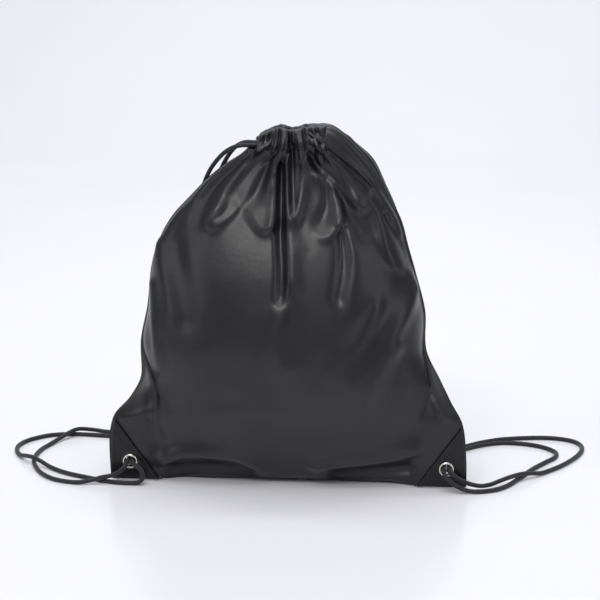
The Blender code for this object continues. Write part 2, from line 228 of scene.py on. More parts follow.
class Finish:
    """One material, whose nodes are all added by the same method."""

    def __init__(self, name, **constants):
        self.material = bpy.data.materials.new(name)
        self.material.use_nodes = True
        self.tree = self.material.node_tree
        self.shader = self.tree.nodes["Principled BSDF"]
        for socket, value in constants.items():
            self.shader.inputs[socket.replace("_", " ")].default_value = value

    def node(self, kind, settings=None, inputs=None, output=0):
        made = self.tree.nodes.new(kind)
        for key, value in (settings or {}).items():
            if key == "stops":
                self.set_stops(made.color_ramp, value)
            else:
                setattr(made, key, value)
        for key, value in (inputs or {}).items():
            if isinstance(value, Value):
                self.tree.links.new(value.socket, made.inputs[key])
            else:
                made.inputs[key].default_value = value
        return Value(self, made.outputs[output])

    def set_stops(self, ramp, stops):
        while len(ramp.elements) < len(stops):
            ramp.elements.new(1.0)
        for element, (position, colour) in zip(ramp.elements, stops):
            element.position = position
            element.color = (*colour, 1.0)

    def feed(self, socket, value):
        self.tree.links.new(value.socket, self.shader.inputs[socket])

    def place(self):
        return self.node("ShaderNodeTexCoord").out("Object")

    def uv(self):
        return self.node("ShaderNodeTexCoord").out("UV")

    def noise(self, where, scale, detail=3.0, roughness=0.5):
        inputs = {"Vector": where, "Scale": scale, "Detail": detail, "Roughness": roughness}
        return self.node("ShaderNodeTexNoise", None, inputs)

    def colours(self, factor, *stops):
        return self.node("ShaderNodeValToRGB", {"stops": stops}, {"Fac": factor})

    def bump(self, height, distance, strength=1.0, under=None):
        inputs = {"Height": height, "Distance": distance, "Strength": strength}
        if under is not None:
            inputs["Normal"] = under
        return self.node("ShaderNodeBump", None, inputs)


def wear(obj, finish):
    """Give the object this material alone."""
    obj.data.materials.clear()
    obj.data.materials.append(finish.material)
    return obj


print("shader helpers ready")

# %% [markdown]
# Coated polyester is a fine plain weave under a thin plastic coat. Up close the threads show
# as a tiny grid, and further off the coat gives broad, soft highlights along each fold.

# %% Fabric, patch, cord, thread and metal finishes
def woven_fabric():
    """The weave follows the cloth's own UV map, which is in metres along the cut cloth."""
    f = Finish(
        "coated_fabric",
        Specular_IOR_Level=0.42,
        Coat_Roughness=0.26,
    )
    where = f.uv()
    split = f.node("ShaderNodeSeparateXYZ", None, {0: where})
    across = (split.out("X") * (math.tau / 0.0011)).sine()
    along = (split.out("Y") * (math.tau / 0.0011)).sine()
    weave = across * along
    blotch = f.noise(f.place(), 14.0, 4.0, 0.55)
    crinkle = f.noise(f.place(), 95.0, 5.0, 0.6)
    dark, light = (0.0045, 0.0045, 0.006), (0.0075, 0.0075, 0.0095)
    f.feed("Base Color", f.colours(blotch, (0.25, dark), (0.8, light)))
    f.feed("Roughness", blotch * 0.08 + crinkle * 0.06 + 0.31)
    f.feed("Coat Weight", blotch * 0.30 + 0.12)
    crease = f.bump(crinkle, 0.0006, 0.35)
    f.feed("Normal", f.bump(weave, 0.00004, 0.35, under=crease))
    return f


def leatherette():
    f = Finish("leatherette", Specular_IOR_Level=0.28, Coat_Roughness=0.3)
    grain = f.node(
        "ShaderNodeTexVoronoi",
        {"feature": "DISTANCE_TO_EDGE"},
        {"Vector": f.place(), "Scale": 900.0},
    )
    cloudy = f.noise(f.place(), 60.0, 4.0)
    dark, light = (0.0050, 0.0050, 0.0065), (0.0090, 0.0090, 0.011)
    f.feed("Base Color", f.colours(cloudy, (0.3, dark), (0.75, light)))
    f.feed("Roughness", cloudy * 0.2 + 0.28)
    f.feed("Coat Weight", cloudy * 0.3)
    f.feed("Normal", f.bump(grain, 0.0003, 0.25, under=f.bump(cloudy, 0.0008, 0.3)))
    return f


def braided_cord():
    """Thread lines on the braid follow the cord's UV map: round it and along it in metres."""
    f = Finish("braided_cord", Specular_IOR_Level=0.4, Sheen_Weight=0.15, Sheen_Roughness=0.45)
    split = f.node("ShaderNodeSeparateXYZ", None, {0: f.uv()})
    turn, run = split.out("X") * 6.0, split.out("Y") * 170.0
    first, second = turn + run, turn - run
    over = first.single("FLOOR") + second.single("FLOOR")
    over = over.math("FLOORED_MODULO", over, 2.0)
    first, second = first.single("FRACT") - 0.5, second.single("FRACT") - 0.5
    first, second = 1.0 - first * first * 4.0, 1.0 - second * second * 4.0
    fibre = first * over + second * (1.0 - over)
    fuzz = f.noise(f.place(), 1400.0, 2.0)
    dark, light = (0.010, 0.010, 0.013), (0.022, 0.022, 0.027)
    f.feed("Base Color", f.colours(fuzz, (0.3, dark), (0.8, light)))
    f.feed("Roughness", fuzz * 0.2 + 0.5)
    f.feed("Normal", f.bump(fibre + fuzz * 0.3, 0.0004, 0.6))
    return f


def sewing_thread():
    f = Finish("sewing_thread", Specular_IOR_Level=0.45, Sheen_Weight=0.1, Sheen_Roughness=0.4)
    twist = f.noise(f.place(), 2200.0, 1.0)
    dark, light = (0.012, 0.012, 0.014), (0.030, 0.030, 0.034)
    f.feed("Base Color", f.colours(twist, (0.3, dark), (0.8, light)))
    f.feed("Roughness", twist * 0.2 + 0.42)
    f.feed("Normal", f.bump(twist, 0.0001, 0.3))
    return f


def nickel_plate():
    f = Finish("nickel_plate", Metallic=1.0)
    scuff = f.noise(f.place(), 700.0, 4.0)
    f.feed("Base Color", f.colours(scuff, (0.3, (0.66, 0.61, 0.54)), (0.7, (0.82, 0.78, 0.71))))
    f.feed("Roughness", scuff * 0.18 + 0.14)
    f.feed("Normal", f.bump(scuff, 0.0001, 0.08))
    return f


FABRIC = woven_fabric()
LEATHERETTE = leatherette()
CORD = braided_cord()
THREAD = sewing_thread()
NICKEL = nickel_plate()
print("finishes:", [f.material.name for f in (FABRIC, LEATHERETTE, CORD, THREAD, NICKEL)])

# %% [markdown]
# The floor runs up into the backdrop in one curve, so that no line shows behind the bag. It
# has a trace of gloss for the faint reflection. Large soft lights give the fabric its broad
# highlights.

# %% Floor and backdrop
def backdrop():
    bpy.ops.mesh.primitive_grid_add(x_subdivisions=2, y_subdivisions=48, size=1)
    sweep = added("floor")
    points = points_of(sweep)
    start, radius, rise = 1.6, 1.2, 2.4
    run = (points[:, 1] + 0.5) * (3.6 + start + radius * math.pi / 2 + rise) - 3.6
    bend = np.clip((run - start) / radius, 0, math.pi / 2)
    up = np.clip(run - start - radius * math.pi / 2, 0, None)
    points[:, 0] *= 9
    points[:, 1] = np.minimum(run, start) + radius * np.sin(bend)
    points[:, 2] = radius * (1 - np.cos(bend)) + up
    set_points(sweep, points)
    smooth(sweep, 60)
    f = Finish("studio_floor", Specular_IOR_Level=0.35)
    cloudy = f.noise(f.place(), 1.5, 2.0)
    f.feed("Base Color", f.colours(cloudy, (0.3, (0.78, 0.78, 0.82)), (0.7, (0.81, 0.81, 0.85))))
    f.feed("Roughness", cloudy * 0.06 + 0.22)
    wear(sweep, f)
    return sweep


backdrop()

# %% Lights
def soft_box(name, place, aim, size, power, tint=(1, 1, 1)):
    bpy.ops.object.light_add(type="AREA", location=place)
    light = bpy.context.active_object
    light.name = name
    light.data.shape = "RECTANGLE"
    light.data.size, light.data.size_y = size
    light.data.energy = power
    light.data.color = tint
    direction = Vector(aim) - Vector(place)
    light.rotation_euler = direction.to_track_quat("-Z", "Y").to_euler()
    return light


soft_box("overhead", (0.0, -0.1, 2.2), (0, 0, 0.1), (2.2, 2.0), 28)
soft_box("left_window", (-1.7, -1.0, 1.1), (0, 0, 0.18), (0.8, 1.6), 5)
soft_box("right_window", (1.8, -0.9, 1.0), (0, 0, 0.18), (0.7, 1.5), 4.5)
soft_box("front_fill", (0.1, -2.3, 0.9), (0, 0, 0.12), (1.8, 0.9), 2.5)
soft_box("key", (-0.30, -1.50, 1.75), (0, 0, 0.25), (1.2, 0.45), 14)
soft_box("backdrop_wash", (0.0, 0.9, 2.6), (0, 2.8, 0.9), (3.0, 0.8), 45)
world = bpy.data.worlds.new("studio")
bpy.context.scene.world = world
world.use_nodes = True
world.node_tree.nodes["Background"].inputs["Color"].default_value = (0.93, 0.94, 1.0, 1)
world.node_tree.nodes["Background"].inputs["Strength"].default_value = 0.29
bpy.context.scene.view_settings.view_transform = "Standard"
print("studio ready")

# %% [markdown]
# Two drawcords hang on the bag. Each leaves its corner eyelet, lies on the floor beside the
# bag, goes in behind it and climbs its back to the neck. Both strands of a side are the same
# cord, so each pair is drawn on the routes of the solid model. A strand is a swept tube: its
# rings keep their turn along the line, so the braid doesn't twist.

# %% The strands' routes
MM = 0.001
CORD_DIAMETER = 0.0042
RING_POINTS = 14
RING_SPACING = 0.0014

# Millimetres, from the eyelet to the neck.
ROUTES = {
    "left_strap_inner": (
        (-151.3, -43, 19), (-151.3, -52.5, 19), (-153, -58.8, 16.2), (-158.5, -60.5, 11.2),
        (-166, -61.2, 7.8), (-174, -62.8, 6.6), (-184, -65.2, 4.2), (-198.5, -66, 2.1),
        (-220, -59, 2.1), (-235, -45, 2.1), (-245, -28, 2.1), (-251.5, -10, 2.1),
        (-253.5, 8, 2.1), (-252, 25, 2.1), (-246.5, 42, 2.2), (-238, 59, 4.2), (-227, 74.5, 7.1),
        (-214, 83, 4.6), (-197, 84.5, 2.1), (-170, 84, 2.1), (-130, 82.5, 2.1), (-102, 78, 3.4),
        (-88.5, 72.5, 12), (-83.5, 69.5, 32), (-82.5, 68.5, 65), (-82, 68.5, 100),
        (-82, 67.5, 130), (-82, 65, 155), (-82, 60.5, 178), (-81.5, 53.5, 201),
        (-80.5, 43.5, 225), (-79, 34, 245), (-76, 26.8, 262), (-71, 21, 280), (-63.5, 16, 296.5),
        (-54.5, 11.8, 309), (-45, 9.1, 314.8), (-35.3, 9, 315),
    ),
    "left_strap_outer": (
        (-146.7, -43, 19), (-146.7, -52.8, 19), (-143.6, -59, 18.8), (-137.8, -61.2, 15),
        (-135, -63, 9.2), (-137, -64, 4.2), (-145, -64, 2.2), (-160, -63.2, 2.1),
        (-172, -59.8, 2.1), (-188, -53, 2.1), (-212, -41.5, 2.1), (-231, -27.5, 2.6),
        (-243, -19, 5.6), (-251.5, -12.8, 6.9), (-259.5, -5.5, 5.6), (-268, 4.5, 2.8),
        (-275, 18, 2.1), (-277.5, 33, 2.1), (-273.5, 48, 2.1), (-264, 60.5, 2.1),
        (-250, 70.5, 2.1), (-227, 74.8, 2.1), (-185, 71.2, 2.1), (-130, 71.5, 2.1),
        (-103, 65.5, 8), (-94.5, 62, 30), (-93.5, 61.2, 65), (-93, 61.2, 100), (-93, 61.2, 127),
        (-93, 60, 152), (-93, 55.8, 178), (-92.8, 49, 202), (-92, 39, 226), (-90.5, 29, 246),
        (-86.5, 19, 266), (-78, 9.5, 287), (-66, 1.8, 303), (-55.5, -5.2, 311.2),
        (-46, -8.6, 314.7), (-35.3, -9, 315),
    ),
    "right_strap_outer": (
        (151.3, -43, 19), (151.3, -52.5, 19), (154.7, -58, 16.8), (162.2, -59.2, 12.2),
        (171, -58.5, 8.2), (181, -55.2, 5.4), (190, -50, 5), (197.5, -44, 6), (205.5, -37, 6.9),
        (214, -29, 7.1), (221.5, -22.5, 6.7), (230, -15.5, 4.8), (240, -7, 2.5), (257, 12, 2.1),
        (271, 33, 2.1), (281, 54, 2.1), (285, 73, 2.1), (280, 88.5, 2.1), (266, 97.5, 2.1),
        (245, 100, 2.1), (208, 92.5, 2.1), (185, 80, 2.1), (168, 66.5, 2.1), (148, 57, 2.1),
        (120, 52.5, 3.4), (104.5, 50.8, 13), (99, 50.5, 32), (98, 50.5, 65), (98, 51, 100),
        (98, 51.3, 127), (97.5, 51.2, 152), (96, 48, 177), (93, 41.5, 201), (88.5, 33.8, 225),
        (83, 27.5, 246), (74.5, 21.5, 270), (66.5, 16.5, 294), (56.5, 11.5, 315.5),
        (47, 9.1, 323.2), (37.3, 9, 323.5),
    ),
    "right_strap_inner": (
        (146.7, -43, 19), (146.7, -52.5, 19), (148, -59, 15.8), (153, -61.2, 10.6),
        (160.5, -63, 6.2), (170, -63.2, 3), (181.5, -61, 2.1), (194, -55.8, 2.1),
        (204, -46.5, 2.1), (211, -36, 2.1), (217, -24, 2.1), (225, -9, 2.1), (235, 9, 2.1),
        (247, 27, 2.1), (256, 41, 2.1), (258, 54, 2.1), (250.5, 66.5, 2.1), (239, 75, 2.1),
        (224, 80, 2.1), (205, 80.5, 2.1), (186, 72.5, 2.1), (169, 59.5, 2.1), (152, 47, 2.1),
        (132, 41, 3.2), (117.5, 40.2, 12), (111.5, 40.5, 31), (109.5, 40.8, 65), (109, 41, 100),
        (108.2, 41.5, 127), (107, 42.8, 152), (105, 40.2, 176), (102, 34.5, 200), (97, 27.2, 224),
        (91.5, 24, 245), (85.5, 22, 264), (77.5, 19, 285), (68, 16.5, 298.5), (57, 12, 310),
        (48, 4, 318.5), (43, -4, 322.5), (37.3, -9, 323.5),
    ),
}


def metres(points):
    return [[value * MM for value in point] for point in points]


def lengths_along(points):
    return np.concatenate([[0], np.cumsum(np.linalg.norm(np.diff(points, axis=0), axis=1))])


def smooth_line(points, spacing):
    """Evenly spaced points along a smooth curve through the route's own points."""
    marks = [Vector(p) for p in points]
    fine = []
    for i in range(len(marks) - 1):
        before = marks[max(i - 1, 0)]
        after = marks[min(i + 2, len(marks) - 1)]
        third = (marks[i + 1] - marks[i]).length / 3
        leave = marks[i] + (marks[i + 1] - before).normalized() * third
        arrive = marks[i + 1] - (after - marks[i]).normalized() * third
        run = interpolate_bezier(marks[i], leave, arrive, marks[i + 1], 16)
        fine += run if i == 0 else run[1:]
    fine = np.array(fine, float)
    along = lengths_along(fine)
    even = np.linspace(0, along[-1], max(2, round(along[-1] / spacing)) + 1)
    return np.stack([np.interp(even, along, fine[:, k]) for k in range(3)], axis=1), along[-1]


def tube(name, line, diameter):
    """A closed tube along the line, with a UV map: once round it, and metres along it."""
    ahead = np.gradient(line, axis=0)
    ahead /= np.linalg.norm(ahead, axis=1)[:, None]
    side = Vector(ahead[0]).orthogonal().normalized()
    turns = np.arange(RING_POINTS) / RING_POINTS * math.tau
    rings = []
    for point, direction in zip(line, ahead):
        direction = Vector(direction)
        side = (side - direction * side.dot(direction)).normalized()
        over = direction.cross(side)
        offsets = [side * math.cos(turn) + over * math.sin(turn) for turn in turns]
        rings.append([Vector(point) + offset * diameter / 2 for offset in offsets])
    along = lengths_along(line)
    made = grid_mesh(
        name, np.array(rings), lambda column, row: (column / RING_POINTS, along[row]),
        round_columns=True, caps=True,
    )
    return smooth(made, 60)


# %% Cords on the floor and up the back
strands = {}
for name, route in ROUTES.items():
    line, length = smooth_line(metres(route), RING_SPACING)
    strand = wear(tube(name + "_cord", line, CORD_DIAMETER), CORD)
    side = "left_drawcord" if name.startswith("left") else "right_drawcord"
    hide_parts(name)
    strands[name] = (strand, line, length, side)
    print(name, "is", round(length * 1000), "mm long, with", len(strand.data.polygons), "faces")

# %% [markdown]
# The bag is described by cross-sections, from the floor to the neck. The fabric starts on
# them, folded where the gathers run down from the neck, and a cloth simulation then settles
# it under the filling's pressure.

# %% The bag's sections
SECTIONS = (
    (0.000, -0.1680, 0.1680, -0.0480, -0.0480, 0.050, 0.052, 0.050, 1.30),
    (0.030, -0.1690, 0.1672, -0.0480, -0.0600, 0.064, 0.050, 0.044, 1.20),
    (0.062, -0.1640, 0.1630, -0.0480, -0.0700, 0.073, 0.040, 0.034, 1.10),
    (0.080, -0.1490, 0.1530, -0.0430, -0.0740, 0.076, 0.024, 0.018, 0.90),
    (0.100, -0.1400, 0.1420, -0.0320, -0.0765, 0.077, 0.010, 0.007, 0.70),
    (0.125, -0.1425, 0.1290, -0.0180, -0.0765, 0.077, 0.003, 0.003, 0.58),
    (0.160, -0.1370, 0.1270, -0.0050, -0.0730, 0.073, 0.002, 0.002, 0.55),
    (0.195, -0.1335, 0.1175, 0.0000, -0.0630, 0.063, 0.002, 0.002, 0.55),
    (0.220, -0.1265, 0.1100, 0.0000, -0.0520, 0.052, 0.002, 0.002, 0.55),
    (0.245, -0.1130, 0.1030, 0.0000, -0.0390, 0.040, 0.002, 0.002, 0.55),
    (0.265, -0.0950, 0.0930, 0.0000, -0.0290, 0.031, 0.002, 0.002, 0.55),
    (0.282, -0.0785, 0.0850, 0.0000, -0.0210, 0.023, 0.002, 0.002, 0.55),
    (0.297, -0.0595, 0.0765, 0.0000, -0.0152, 0.0172, 0.002, 0.002, 0.52),
    (0.308, -0.0405, 0.0640, 0.0000, -0.0138, 0.0138, 0.002, 0.002, 0.45),
    (0.313, -0.0350, 0.0560, 0.0000, -0.0145, 0.0145, 0.002, 0.002, 0.40),
    (0.331, -0.0290, 0.0340, 0.0000, -0.0142, 0.0142, 0.002, 0.002, 0.40),
)
BACK_TURN = 0.55
CORNER_POWER = 2.4
NECK_HEIGHT = 0.3125
COLUMNS = 104
ROWS = 108

# Folds on the front panel, in millimetres: the line that each one follows, in x and height,
# its half width where it starts and ends, how far it stands out, and which side it leans to.
# A valley stands out by less than zero. A fold that leans has a long slope on its left (1) or
# right (-1), as seen along its line, and a steep one on the other side.
FRONT_FOLDS = (
    ((
      (-22.9, 315.3), (-57.8, 295.6), (-86.1, 271.3), (-109, 248.4), (-118.1, 230.9),
    ), 2.4, 6, 4, -1),
    (((-20, 317.7), (-39, 301), (-59.2, 276.8), (-69.1, 250.8)), 2.8, 10, 5.8, 0),
    (((-64, 261.3), (-74.2, 249.2), (-70.9, 241.6), (-58.1, 248.4), (-48.9, 257.5)), 3, 3, 2.2, 1),
    (((-13.8, 315.7), (-17.6, 299.3), (-18.8, 280.5)), 2.2, 5.5, 2, 0),
    ((
      (-6, 318.1), (-11.4, 298.2), (-12.2, 273.4), (-11.1, 255.6), (-13.2, 246.4),
    ), 2.2, 3.6, 3.6, -1),
    (((-13.7, 245.4), (-21.9, 242.2), (-31.7, 251.3), (-40.8, 264.5)), 3, 3.4, 2.6, -1),
    ((
      (-12.6, 291.6), (-10.3, 300.8), (-7.1, 303.3), (-4.2, 299.6), (-2.5, 289.1),
    ), 2.4, 2.4, 1.4, 0),
    (((-3.7, 302.3), (-1.8, 276.2), (0.6, 245.6), (2.7, 220.5), (3.4, 201)), 2.2, 3.4, 2.6, 1),
    ((
      (-1, 324.3), (-2, 299.6), (-0.8, 273.6), (1.4, 257.8), (4.9, 253.3), (8.8, 258.9),
      (11.2, 276.3), (11.6, 298.5), (8.6, 321.6),
    ), 2.2, 2.4, 3.2, -1),
    ((
      (14.1, 320.3), (15.3, 303.8), (21.4, 294), (27.5, 291.4), (29.8, 296.7), (25.1, 307.8),
    ), 2, 2.4, 2.2, -1),
    (((20.4, 320.6), (34.7, 307.6), (50.3, 289.1), (63.7, 266.8)), 2.8, 10, 6, 0),
    (((59.1, 267), (67.5, 258.2), (70.3, 263.6), (67.3, 275.6)), 3, 3, 2, 1),
    (((30.3, 289.4), (41.1, 276.3), (47.6, 260.9), (46, 244.4), (39.2, 237.2)), 2.8, 3.4, 3.4, -1),
    (((47.6, 245.6), (57.5, 230.1), (60.7, 204.6), (56, 185)), 3.4, 4.4, 2.2, 1),
    (((74, 266.2), (82.2, 246.4), (88.6, 225.2), (97.1, 210.5), (112.2, 199.1)), 3, 4.4, 3.2, 1),
    (((31.9, 316), (56.8, 298), (73.6, 281.6), (87.7, 261), (103.2, 232.3)), 2, 3.5, 1.6, 0),
    (((-7.2, 296.9), (-7, 263.3), (-6.6, 232.9), (-4.5, 207.8), (-5, 184)), 2.6, 4.4, -7, 0),
    (((2, 316), (2.5, 289.2), (3.9, 266)), 1.6, 2.2, -3.6, 0),
    (((-16.6, 307.3), (-22.8, 288.7), (-30.5, 271.7), (-37, 265)), 2, 8, -3.4, 0),
    (((-32.3, 308.9), (-57, 287.1), (-75.4, 265.5), (-85, 247)), 2.2, 8, -3, 0),
    (((18.3, 307.8), (32.6, 285.4), (36.1, 263.6), (31.1, 248.3)), 2.2, 7, -3.4, 0),
    (((43.8, 276.3), (58.1, 255.5), (68.1, 238.5)), 3, 9, -3, 0),
    (((50, 242), (52, 212.7), (49, 184.6)), 4, 7, -3.4, 0),
    (((87.9, 253.4), (103.4, 224.7), (110.7, 204.6)), 3, 6, -2.8, 0),
    (((-121.6, 221.8), (-114.6, 194.4), (-107.9, 162.1)), 5, 8, 3.4, -1),
    (((-104, 220), (-96, 190), (-93, 160)), 8, 14, -2.6, 0),
    (((-127.2, 185.1), (-124, 149.7), (-120, 109.5)), 4, 6, 2, 0),
    (((117.1, 187.1), (105, 160.9), (85.3, 131.4), (62.7, 105.4)), 7, 13, 3.4, 0),
    (((81.8, 174.7), (66.3, 144), (47.7, 117.1)), 7, 13, 2.2, 0),
    (((-116, 18.1), (-96.5, 27), (-67.5, 28.1), (-43.6, 25.3), (-32.6, 16.7)), 3.6, 4, 6.4, 1),
    (((-106.7, 9.6), (-68.2, 13.8), (-35, 9.7)), 6.2, 6.6, -8.5, 0),
    (((29.5, 18.1), (59.2, 23.7), (91.8, 27.3), (116.7, 32.6)), 3.6, 4.4, 5.6, 1),
    (((45.1, 9.2), (77.9, 12.8), (113.4, 15.8)), 5.6, 6.6, -8.5, 0),
    (((-161.9, 58.6), (-146.5, 61.9), (-131.4, 67)), 3.6, 3.6, 1.8, 0),
    (((155.9, 66.4), (141.9, 75.2), (130.3, 96.7)), 3.6, 4.6, 2, 0),
    (((-128, 77.9), (-129.6, 49.7), (-122.7, 25)), 6, 10, -3, 0),
    (((99.5, 134.1), (82.2, 104.2), (70.4, 82.4)), 7, 11, 2.2, 0),
    (((-110.2, 51.3), (-41.6, 74), (32, 66)), 10, 14, 1.6, 0),
    (((-4.4, 166.3), (-9.6, 144.6), (-4.1, 119.7)), 8, 14, 1.6, 0),
)
BACK_FOLDS = (
    (((-26, 316), (-60, 290), (-90, 255), (-104, 215)), 2.6, 8, 4, 0),
    (((-18, 316), (-40, 288), (-58, 250), (-64, 205)), 2.6, 8, 5, 0),
    (((-10, 316), (-20, 280), (-27, 235), (-28, 180)), 2.6, 7, 4, 0),
    (((0, 316), (1, 275), (4, 230), (4, 160)), 2.6, 8, 5, 0),
    (((10, 316), (22, 280), (34, 240), (38, 195)), 2.6, 8, 4.5, 0),
    (((18, 316), (42, 286), (62, 250), (70, 200)), 2.6, 8, 5, 0),
    (((28, 316), (62, 288), (86, 250), (95, 210)), 2.6, 7, 3.5, 0),
    (((-22, 314), (-50, 288), (-76, 250), (-85, 205)), 2, 7, -4, 0),
    (((-14, 314), (-30, 282), (-43, 240), (-46, 180)), 2, 7, -5, 0),
    (((-5, 314), (-9, 280), (-11, 235), (-12, 150)), 2, 6, -4.5, 0),
    (((5, 314), (12, 280), (19, 235), (21, 165)), 2, 7, -5, 0),
    (((14, 314), (32, 284), (48, 245), (54, 190)), 2, 7, -4.5, 0),
    (((23, 314), (52, 288), (74, 252), (83, 200)), 2, 7, -4, 0),
    (((-120, 200), (-112, 150), (-100, 110)), 4, 9, 2.5, 0),
    (((112, 190), (104, 140), (90, 100)), 4, 9, 2.5, 0),
    (((-152, 64), (-120, 84), (-88, 120), (-70, 160)), 6, 12, 4, 0),
    (((150, 64), (118, 86), (90, 118), (74, 150)), 6, 12, 4, 0),
    (((60, 28), (-10, 40), (-80, 34), (-120, 28)), 8, 10, 4, 0),
    (((-60, 58), (10, 66), (80, 56), (115, 46)), 9, 12, 3.6, 0),
    (((-50, 130), (-20, 105), (12, 96), (45, 102)), 9, 14, 3, 0),
    (((-110, 48), (-20, 54), (40, 46)), 7, 10, -3, 0),
)


# The mouth's pleats: place across the hem, half width and rise.
HEM_LEFT = -0.0290
HEM_RIGHT = 0.0340
FRONT_PLEATS = (
    (-0.0255, 0.0015, 0.0012), (-0.0230, 0.0009, -0.0012), (-0.0205, 0.0015, 0.0014),
    (-0.0180, 0.0009, -0.0014), (-0.0155, 0.0014, 0.0014), (-0.0115, 0.0013, 0.0010),
    (-0.0088, 0.0009, -0.0020), (-0.0045, 0.0030, 0.0014), (0.0000, 0.0011, -0.0040),
    (0.0055, 0.0034, 0.0018), (0.0118, 0.0010, -0.0024), (0.0155, 0.0018, 0.0014),
    (0.0185, 0.0008, -0.0014), (0.0210, 0.0014, 0.0012), (0.0238, 0.0010, -0.0022),
    (0.0285, 0.0026, 0.0018),
)
BACK_PLEATS = (
    (-0.0250, 0.0018, 0.0014), (-0.0215, 0.0010, -0.0018), (-0.0172, 0.0022, 0.0014),
    (-0.0130, 0.0010, -0.0022), (-0.0085, 0.0024, 0.0016), (-0.0040, 0.0010, -0.0026),
    (0.0010, 0.0026, 0.0016), (0.0060, 0.0010, -0.0024), (0.0105, 0.0022, 0.0016),
    (0.0150, 0.0010, -0.0022), (0.0195, 0.0024, 0.0014), (0.0240, 0.0010, -0.0020),
    (0.0290, 0.0024, 0.0014),
)


LEAN_SPREAD = 2.2
FOLD_SPACING = 0.003
OUTLINE_SAMPLES = 241


def section(height):
    """The cross-section at this height, read smoothly between those that are stated."""
    heights = [row[0] for row in SECTIONS]
    last = len(SECTIONS) - 1
    low = max(i for i in range(last) if heights[i] <= height + 1e-9)
    span = heights[low + 1] - heights[low]
    t = min(max((height - heights[low]) / span, 0.0), 1.0)

    def slope(i, column):
        before, after = max(i - 1, 0), min(i + 1, last)
        here = SECTIONS[i][column]
        rise_in, rise_out = here - SECTIONS[before][column], SECTIONS[after][column] - here
        if 0 < i < last and rise_in * rise_out <= 0:
            return 0.0
        return (rise_in + rise_out) / (heights[after] - heights[before])

    def value(column):
        start, end = SECTIONS[low][column], SECTIONS[low + 1][column]
        first, second = slope(low, column) * span, slope(low + 1, column) * span
        square, cube = t * t, t * t * t
        return (
            start * (2 * cube - 3 * square + 1)
            + first * (cube - 2 * square + t)
            + end * (3 * square - 2 * cube)
            + second * (cube - square)
        )

    return [value(column) for column in range(1, 9)]


def outline(height, side):
    """One panel's curve at this height from the left seam to the right one, as x and y."""
    left, right, seam, front, back, ear_front, ear_back, front_turn = section(height)
    middle, ear, turn = (front, ear_front, front_turn) if side < 0 else (back, ear_back, BACK_TURN)
    t = np.sin(np.linspace(-math.pi / 2, math.pi / 2, OUTLINE_SAMPLES))
    half = np.where(t < 0, -left - ear, right - ear)
    swell = np.clip(1 - np.abs(t) ** CORNER_POWER, 0, None) ** turn
    x = np.concatenate([[left], t * half, [right]])
    y = np.concatenate([[seam], seam + (middle - seam) * swell, [seam]])
    return np.stack([x, y], axis=1)


def smooth_folds(folds, gain, fade):
    """The folds in metres, each with a smooth line and how far its end dies away."""
    made = []
    for line, start_width, end_width, rise, lean in folds:
        run, _ = smooth_line([(x * MM, 0, z * MM) for x, z in line], FOLD_SPACING)
        widths = start_width * MM, end_width * MM
        made.append((run[:, [0, 2]], *widths, rise * MM * gain, lean, fade))
    return made


def fold_relief(x, height, folds):
    """How far the folds stand out at each of these points, in metres."""
    relief = np.zeros_like(x)
    columns = np.arange(len(x))
    for line, start_width, end_width, rise, lean, fade in folds:
        step = np.diff(line, axis=0)
        offset = np.stack([x, height], axis=1)[None] - line[:-1, None]
        part = (offset * step[:, None]).sum(2) / (step**2).sum(1)[:, None]
        part = np.clip(part, 0, 1)
        gap = offset - part[..., None] * step[:, None]
        far = np.linalg.norm(gap, axis=2)
        near = far.argmin(0)
        gap, far, step = gap[near, columns], far[near, columns], step[near]
        across = step[:, 0] * gap[:, 1] - step[:, 1] * gap[:, 0]
        across /= np.linalg.norm(step, axis=1) * np.maximum(far, 1e-9)
        slope = 0.5 + 0.5 * across * lean
        grown = (near + part[near, columns]) / (len(line) - 1)
        width = start_width + (end_width - start_width) * grown
        width *= 1 + LEAN_SPREAD * abs(lean) * slope * slope * (3 - 2 * slope)
        tall = 1 - fade * grown * grown * (3 - 2 * grown)
        relief += rise * tall * np.exp(-((far / width) ** 2))
    return relief


def pleat_wave(x, height, pleats):
    """The crowded pleats of the gathered mouth, which spread and fade below it."""
    left, right = section(height)[:2]
    right = min(right, 0.034 + 0.4 * max(0.0, 0.331 - height))
    spread = (x - left) / (right - left) * (HEM_RIGHT - HEM_LEFT) + HEM_LEFT
    grown = min(1.0, max(0.0, (height - 0.292) / 0.020))
    wave = sum(rise * np.exp(-(((spread - at) / width) ** 2)) for at, width, rise in pleats)
    return wave * grown * grown * (3 - 2 * grown)


def fabric_relief(x, height, folds, pleats):
    """Folds and pleats together. Near the cords' tunnel the valleys are shallow."""
    fading = min(1.0, max(0.5, (0.338 - height) / 0.020))
    relief = fold_relief(x, np.full_like(x, height), folds) * fading
    relief += pleat_wave(x, height, pleats)
    deepest = np.interp(height, (0.295, 0.312), (-0.012, -0.0028))
    return np.where(relief < 0, -deepest * np.tanh(relief / -deepest), relief)


def folded_row(height, side, count, folds, pleats):
    """Evenly spaced points across a panel at this height, pushed out and in by its folds."""
    curve = outline(height, side)
    along = lengths_along(curve)
    even = np.linspace(0, along[-1], count + 1)
    row = np.stack([np.interp(even, along, curve[:, k]) for k in range(2)], axis=1)
    tangent = np.gradient(row, axis=0)
    tangent /= np.linalg.norm(tangent, axis=1)[:, None]
    outward = np.stack([-tangent[:, 1], tangent[:, 0]], axis=1) * side
    relief = fabric_relief(row[:, 0], height, folds, pleats)
    edge = np.clip(np.minimum(np.arange(count + 1), count - np.arange(count + 1)) / 5, 0, 1)
    return row + outward * (relief * edge)[:, None]


